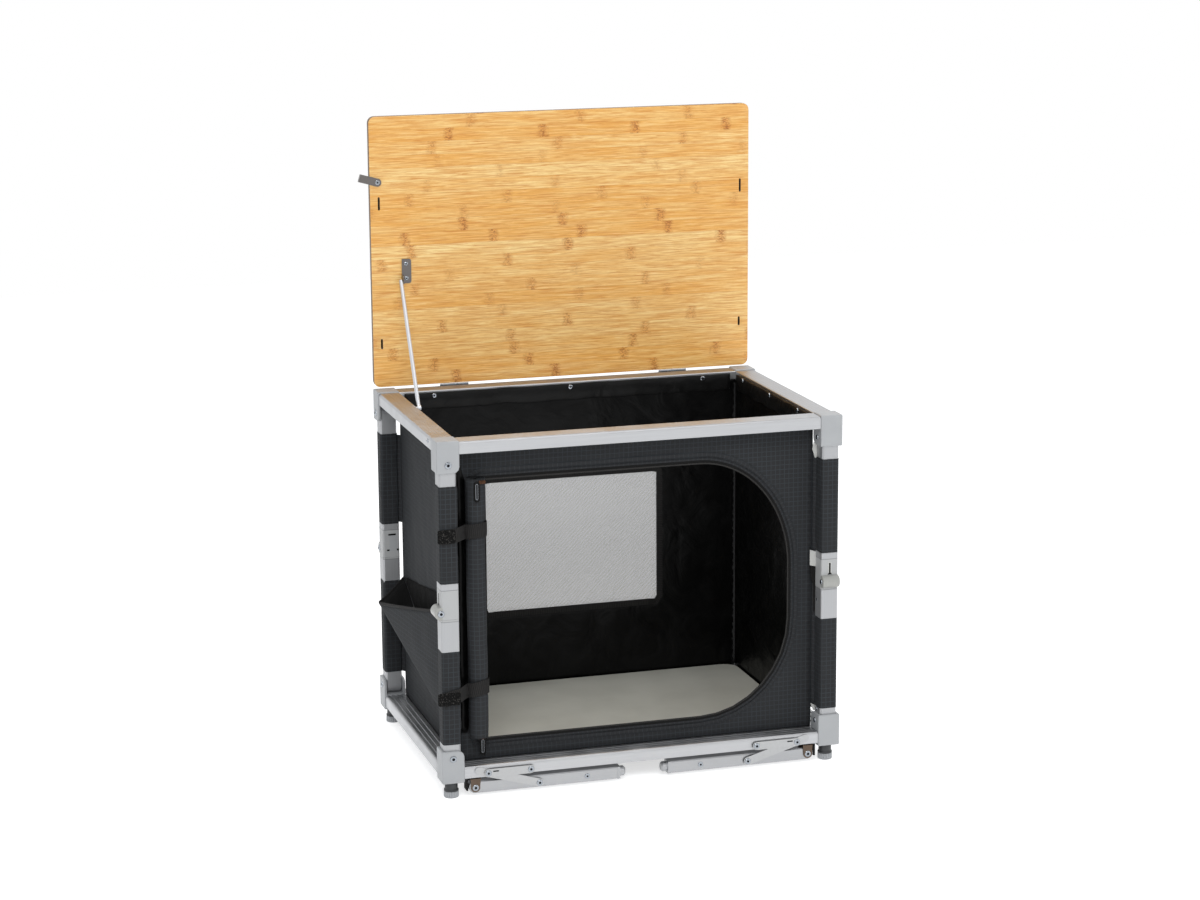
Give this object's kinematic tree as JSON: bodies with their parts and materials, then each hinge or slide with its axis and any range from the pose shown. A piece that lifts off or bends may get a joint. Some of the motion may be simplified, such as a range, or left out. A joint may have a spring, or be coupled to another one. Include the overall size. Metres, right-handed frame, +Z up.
{
  "type": "folding camp kitchen box",
  "caption": "Folding aluminium-framed camp kitchen box with fabric walls, front door, side pocket, hinged bamboo lid on a prop rod, screw feet and fold-out long legs.",
  "frame": {"origin": "on the ground under the middle of the whole object's box at rest, with the lid open; the frame's own middle lies 5 mm to the right of it and 2 mm in front of it", "axes": "+X to the right and +Y to the back as one faces the doorway, +Z up"},
  "size_m": [0.6259, 0.4222, 0.9369],
  "materials": {
    "grey_plastic": "moulded glass-filled nylon, light grey, fine spark texture",
    "foot_plastic": "moulded grey cap on a dark stem",
    "anodised_aluminium": "satin anodised extrusion",
    "stay_steel": "zinc-plated pressed steel",
    "bronze_steel": "bronze-brown plated sheet",
    "bamboo": "laminated bamboo strips under clear lacquer, dark edge",
    "bright_steel": "bright zinc plating",
    "dark_steel": "dark nickel plating",
    "mesh_fabric": "fine woven mesh",
    "coated_board": "smooth light grey coated board",
    "lining_fabric": "black coated inner face",
    "charcoal_fabric": "charcoal ripstop with a fine blue-grey check"
  },
  "bodies": {
    "base": {"base_block_fl": "grey_plastic", "base_block_fr": "grey_plastic", "base_block_rr": "grey_plastic", "base_block_rl": "grey_plastic", "base_rail_front": "anodised_aluminium", "base_rail_right": "anodised_aluminium", "base_rail_rear": "anodised_aluminium", "base_rail_left": "anodised_aluminium", "bag_floor": "lining_fabric", "floor_board": "coated_board", "front_panel": "charcoal_fabric", "rear_panel": "charcoal_fabric", "side_panel_left": "charcoal_fabric", "side_panel_right": "charcoal_fabric", "rear_mesh_window": "mesh_fabric", "side_pocket": "charcoal_fabric", "rolled_door": "charcoal_fabric", "leg_bracket_fl": "bronze_steel", "leg_bracket_fr": "bronze_steel", "leg_bracket_rr": "bronze_steel", "leg_bracket_rl": "bronze_steel"},
    "lower_leg_fl": {"lower_leg_fl": "anodised_aluminium"},
    "lower_leg_fr": {"lower_leg_fr": "anodised_aluminium"},
    "lower_leg_rr": {"lower_leg_rr": "anodised_aluminium"},
    "lower_leg_rl": {"lower_leg_rl": "anodised_aluminium"},
    "upper_leg_fl": {"upper_leg_fl": "anodised_aluminium"},
    "upper_leg_fr": {"upper_leg_fr": "anodised_aluminium"},
    "upper_leg_rr": {"upper_leg_rr": "anodised_aluminium"},
    "upper_leg_rl": {"upper_leg_rl": "anodised_aluminium"},
    "top_frame": {"top_block_fl": "grey_plastic", "top_block_fr": "grey_plastic", "top_block_rr": "grey_plastic", "top_block_rl": "grey_plastic", "top_rail_front": "anodised_aluminium", "top_rail_right": "anodised_aluminium", "top_rail_rear": "anodised_aluminium", "top_rail_left": "anodised_aluminium", "lid_hinge_left": "bright_steel", "lid_hinge_right": "bright_steel"},
    "lid": {"lid_board": "bamboo", "prop_bracket": "dark_steel"},
    "lid_latch": {"lid_latch": "dark_steel"},
    "prop_rod": {"prop_rod": "bright_steel"},
    "foot_fl": {"foot_fl": "foot_plastic"},
    "foot_fr": {"foot_fr": "foot_plastic"},
    "foot_rr": {"foot_rr": "foot_plastic"},
    "foot_rl": {"foot_rl": "foot_plastic"},
    "long_leg_fl": {"long_leg_fl": "anodised_aluminium"},
    "long_leg_fr": {"long_leg_fr": "anodised_aluminium"},
    "long_leg_rr": {"long_leg_rr": "anodised_aluminium"},
    "long_leg_rl": {"long_leg_rl": "anodised_aluminium"},
    "stay_rail_link_fl": {"stay_rail_link_fl": "stay_steel"},
    "stay_rail_link_fr": {"stay_rail_link_fr": "stay_steel"},
    "stay_rail_link_rr": {"stay_rail_link_rr": "stay_steel"},
    "stay_rail_link_rl": {"stay_rail_link_rl": "stay_steel"},
    "stay_leg_link_fl": {"stay_leg_link_fl": "stay_steel"},
    "stay_leg_link_fr": {"stay_leg_link_fr": "stay_steel"},
    "stay_leg_link_rr": {"stay_leg_link_rr": "stay_steel"},
    "stay_leg_link_rl": {"stay_leg_link_rl": "stay_steel"}
  },
  "joints": [
    {"name": "frame_fold", "type": "hinge", "parent": "base", "child": "lower_leg_fl", "pos_m": [-0.281, -0.18985, 0.061], "axis": [0, 1, 0], "range_deg": [0, 88], "deforming": ["front_panel", "rear_panel", "side_panel_left", "side_panel_right", "rear_mesh_window", "side_pocket", "rolled_door"]},
    {"name": "knee_fl", "type": "hinge", "parent": "lower_leg_fl", "child": "upper_leg_fl", "pos_m": [-0.2942, -0.18985, 0.2755], "axis": [0, 1, 0], "range_deg": [-176, 0]},
    {"name": "lower_leg_fr_fold", "type": "hinge", "parent": "base", "child": "lower_leg_fr", "pos_m": [0.291, -0.18985, 0.061], "axis": [-1, 0, 0], "range_deg": [0, 88]},
    {"name": "knee_fr", "type": "hinge", "parent": "lower_leg_fr", "child": "upper_leg_fr", "pos_m": [0.291, -0.20305, 0.2755], "axis": [-1, 0, 0], "range_deg": [-176, 0]},
    {"name": "lower_leg_rr_fold", "type": "hinge", "parent": "base", "child": "lower_leg_rr", "pos_m": [0.291, 0.18565, 0.061], "axis": [0, -1, 0], "range_deg": [0, 88]},
    {"name": "knee_rr", "type": "hinge", "parent": "lower_leg_rr", "child": "upper_leg_rr", "pos_m": [0.3042, 0.18565, 0.2755], "axis": [0, -1, 0], "range_deg": [-176, 0]},
    {"name": "lower_leg_rl_fold", "type": "hinge", "parent": "base", "child": "lower_leg_rl", "pos_m": [-0.281, 0.18565, 0.061], "axis": [1, 0, 0], "range_deg": [0, 88]},
    {"name": "knee_rl", "type": "hinge", "parent": "lower_leg_rl", "child": "upper_leg_rl", "pos_m": [-0.281, 0.19885, 0.2755], "axis": [1, 0, 0], "range_deg": [-176, 0]},
    {"name": "top_frame_level", "type": "hinge", "parent": "upper_leg_fl", "child": "top_frame", "pos_m": [-0.281, -0.18985, 0.49], "axis": [0, 1, 0], "range_deg": [0, 88]},
    {"name": "lid_hinge", "type": "hinge", "parent": "top_frame", "child": "lid", "pos_m": [0.005, 0.20065, 0.5242], "axis": [1, 0, 0], "range_deg": [0, 90]},
    {"name": "prop_swing", "type": "hinge", "parent": "top_frame", "child": "prop_rod", "pos_m": [-0.253, 0.08815, 0.5135], "axis": [1, 0, 0], "range_deg": [0, 120.15]},
    {"name": "latch_swivel", "type": "hinge", "parent": "lid", "child": "lid_latch", "pos_m": [-0.2837, 0.20105, 0.8383], "axis": [0, -1, 0], "range_deg": [-74, 0]},
    {"name": "foot_fl_screw", "type": "slide", "parent": "base", "child": "foot_fl", "axis": [0, 0, 1], "range_m": [-0.01, 0]},
    {"name": "foot_fr_screw", "type": "slide", "parent": "base", "child": "foot_fr", "axis": [0, 0, 1], "range_m": [-0.01, 0]},
    {"name": "foot_rr_screw", "type": "slide", "parent": "base", "child": "foot_rr", "axis": [0, 0, 1], "range_m": [-0.01, 0]},
    {"name": "foot_rl_screw", "type": "slide", "parent": "base", "child": "foot_rl", "axis": [0, 0, 1], "range_m": [-0.01, 0]},
    {"name": "long_leg_fl_swing", "type": "hinge", "parent": "base", "child": "long_leg_fl", "pos_m": [-0.2485, -0.19435, 0.0145], "axis": [0, -1, 0], "range_deg": [-90, 0]},
    {"name": "stay_rail_link_fl_swing", "type": "hinge", "parent": "base", "child": "stay_rail_link_fl", "pos_m": [-0.167, -0.2077, 0.0355], "axis": [0, -1, 0], "range_deg": [0, 54.44]},
    {"name": "stay_leg_link_fl_swing", "type": "hinge", "parent": "long_leg_fl", "child": "stay_leg_link_fl", "pos_m": [-0.1537, -0.2059, 0.0132], "axis": [0, -1, 0], "range_deg": [-19.31, 0]},
    {"name": "long_leg_fr_swing", "type": "hinge", "parent": "base", "child": "long_leg_fr", "pos_m": [0.2585, -0.19435, 0.0145], "axis": [0, 1, 0], "range_deg": [-90, 0]},
    {"name": "stay_rail_link_fr_swing", "type": "hinge", "parent": "base", "child": "stay_rail_link_fr", "pos_m": [0.177, -0.2077, 0.0355], "axis": [0, 1, 0], "range_deg": [0, 54.44]},
    {"name": "stay_leg_link_fr_swing", "type": "hinge", "parent": "long_leg_fr", "child": "stay_leg_link_fr", "pos_m": [0.1637, -0.2059, 0.0132], "axis": [0, 1, 0], "range_deg": [-19.31, 0]},
    {"name": "long_leg_rr_swing", "type": "hinge", "parent": "base", "child": "long_leg_rr", "pos_m": [0.2585, 0.19015, 0.0145], "axis": [0, 1, 0], "range_deg": [-90, 0]},
    {"name": "stay_rail_link_rr_swing", "type": "hinge", "parent": "base", "child": "stay_rail_link_rr", "pos_m": [0.177, 0.2035, 0.0355], "axis": [0, 1, 0], "range_deg": [0, 54.44]},
    {"name": "stay_leg_link_rr_swing", "type": "hinge", "parent": "long_leg_rr", "child": "stay_leg_link_rr", "pos_m": [0.1637, 0.2017, 0.0132], "axis": [0, 1, 0], "range_deg": [-19.31, 0]},
    {"name": "long_leg_rl_swing", "type": "hinge", "parent": "base", "child": "long_leg_rl", "pos_m": [-0.2485, 0.19015, 0.0145], "axis": [0, -1, 0], "range_deg": [-90, 0]},
    {"name": "stay_rail_link_rl_swing", "type": "hinge", "parent": "base", "child": "stay_rail_link_rl", "pos_m": [-0.167, 0.2035, 0.0355], "axis": [0, -1, 0], "range_deg": [0, 54.44]},
    {"name": "stay_leg_link_rl_swing", "type": "hinge", "parent": "long_leg_rl", "child": "stay_leg_link_rl", "pos_m": [-0.1537, 0.2017, 0.0132], "axis": [0, -1, 0], "range_deg": [-19.31, 0]}
  ],
  "couplings": [
    {"joint": "knee_fl", "follows": "frame_fold", "ratio": -2},
    {"joint": "lower_leg_fr_fold", "follows": "frame_fold", "ratio": 1},
    {"joint": "knee_fr", "follows": "frame_fold", "ratio": -2},
    {"joint": "lower_leg_rr_fold", "follows": "frame_fold", "ratio": 1},
    {"joint": "knee_rr", "follows": "frame_fold", "ratio": -2},
    {"joint": "lower_leg_rl_fold", "follows": "frame_fold", "ratio": 1},
    {"joint": "knee_rl", "follows": "frame_fold", "ratio": -2},
    {"joint": "top_frame_level", "follows": "frame_fold", "ratio": 1},
    {"joint": "prop_swing", "follows": "lid_hinge", "ratio": 1.3349},
    {"joint": "stay_rail_link_fl_swing", "follows": "long_leg_fl_swing", "ratio": -0.6048},
    {"joint": "stay_leg_link_fl_swing", "follows": "long_leg_fl_swing", "ratio": 0.2144},
    {"joint": "stay_rail_link_fr_swing", "follows": "long_leg_fr_swing", "ratio": -0.6048},
    {"joint": "stay_leg_link_fr_swing", "follows": "long_leg_fr_swing", "ratio": 0.2144},
    {"joint": "stay_rail_link_rr_swing", "follows": "long_leg_rr_swing", "ratio": -0.6048},
    {"joint": "stay_leg_link_rr_swing", "follows": "long_leg_rr_swing", "ratio": 0.2144},
    {"joint": "stay_rail_link_rl_swing", "follows": "long_leg_rl_swing", "ratio": -0.6048},
    {"joint": "stay_leg_link_rl_swing", "follows": "long_leg_rl_swing", "ratio": 0.2144}
  ]
}
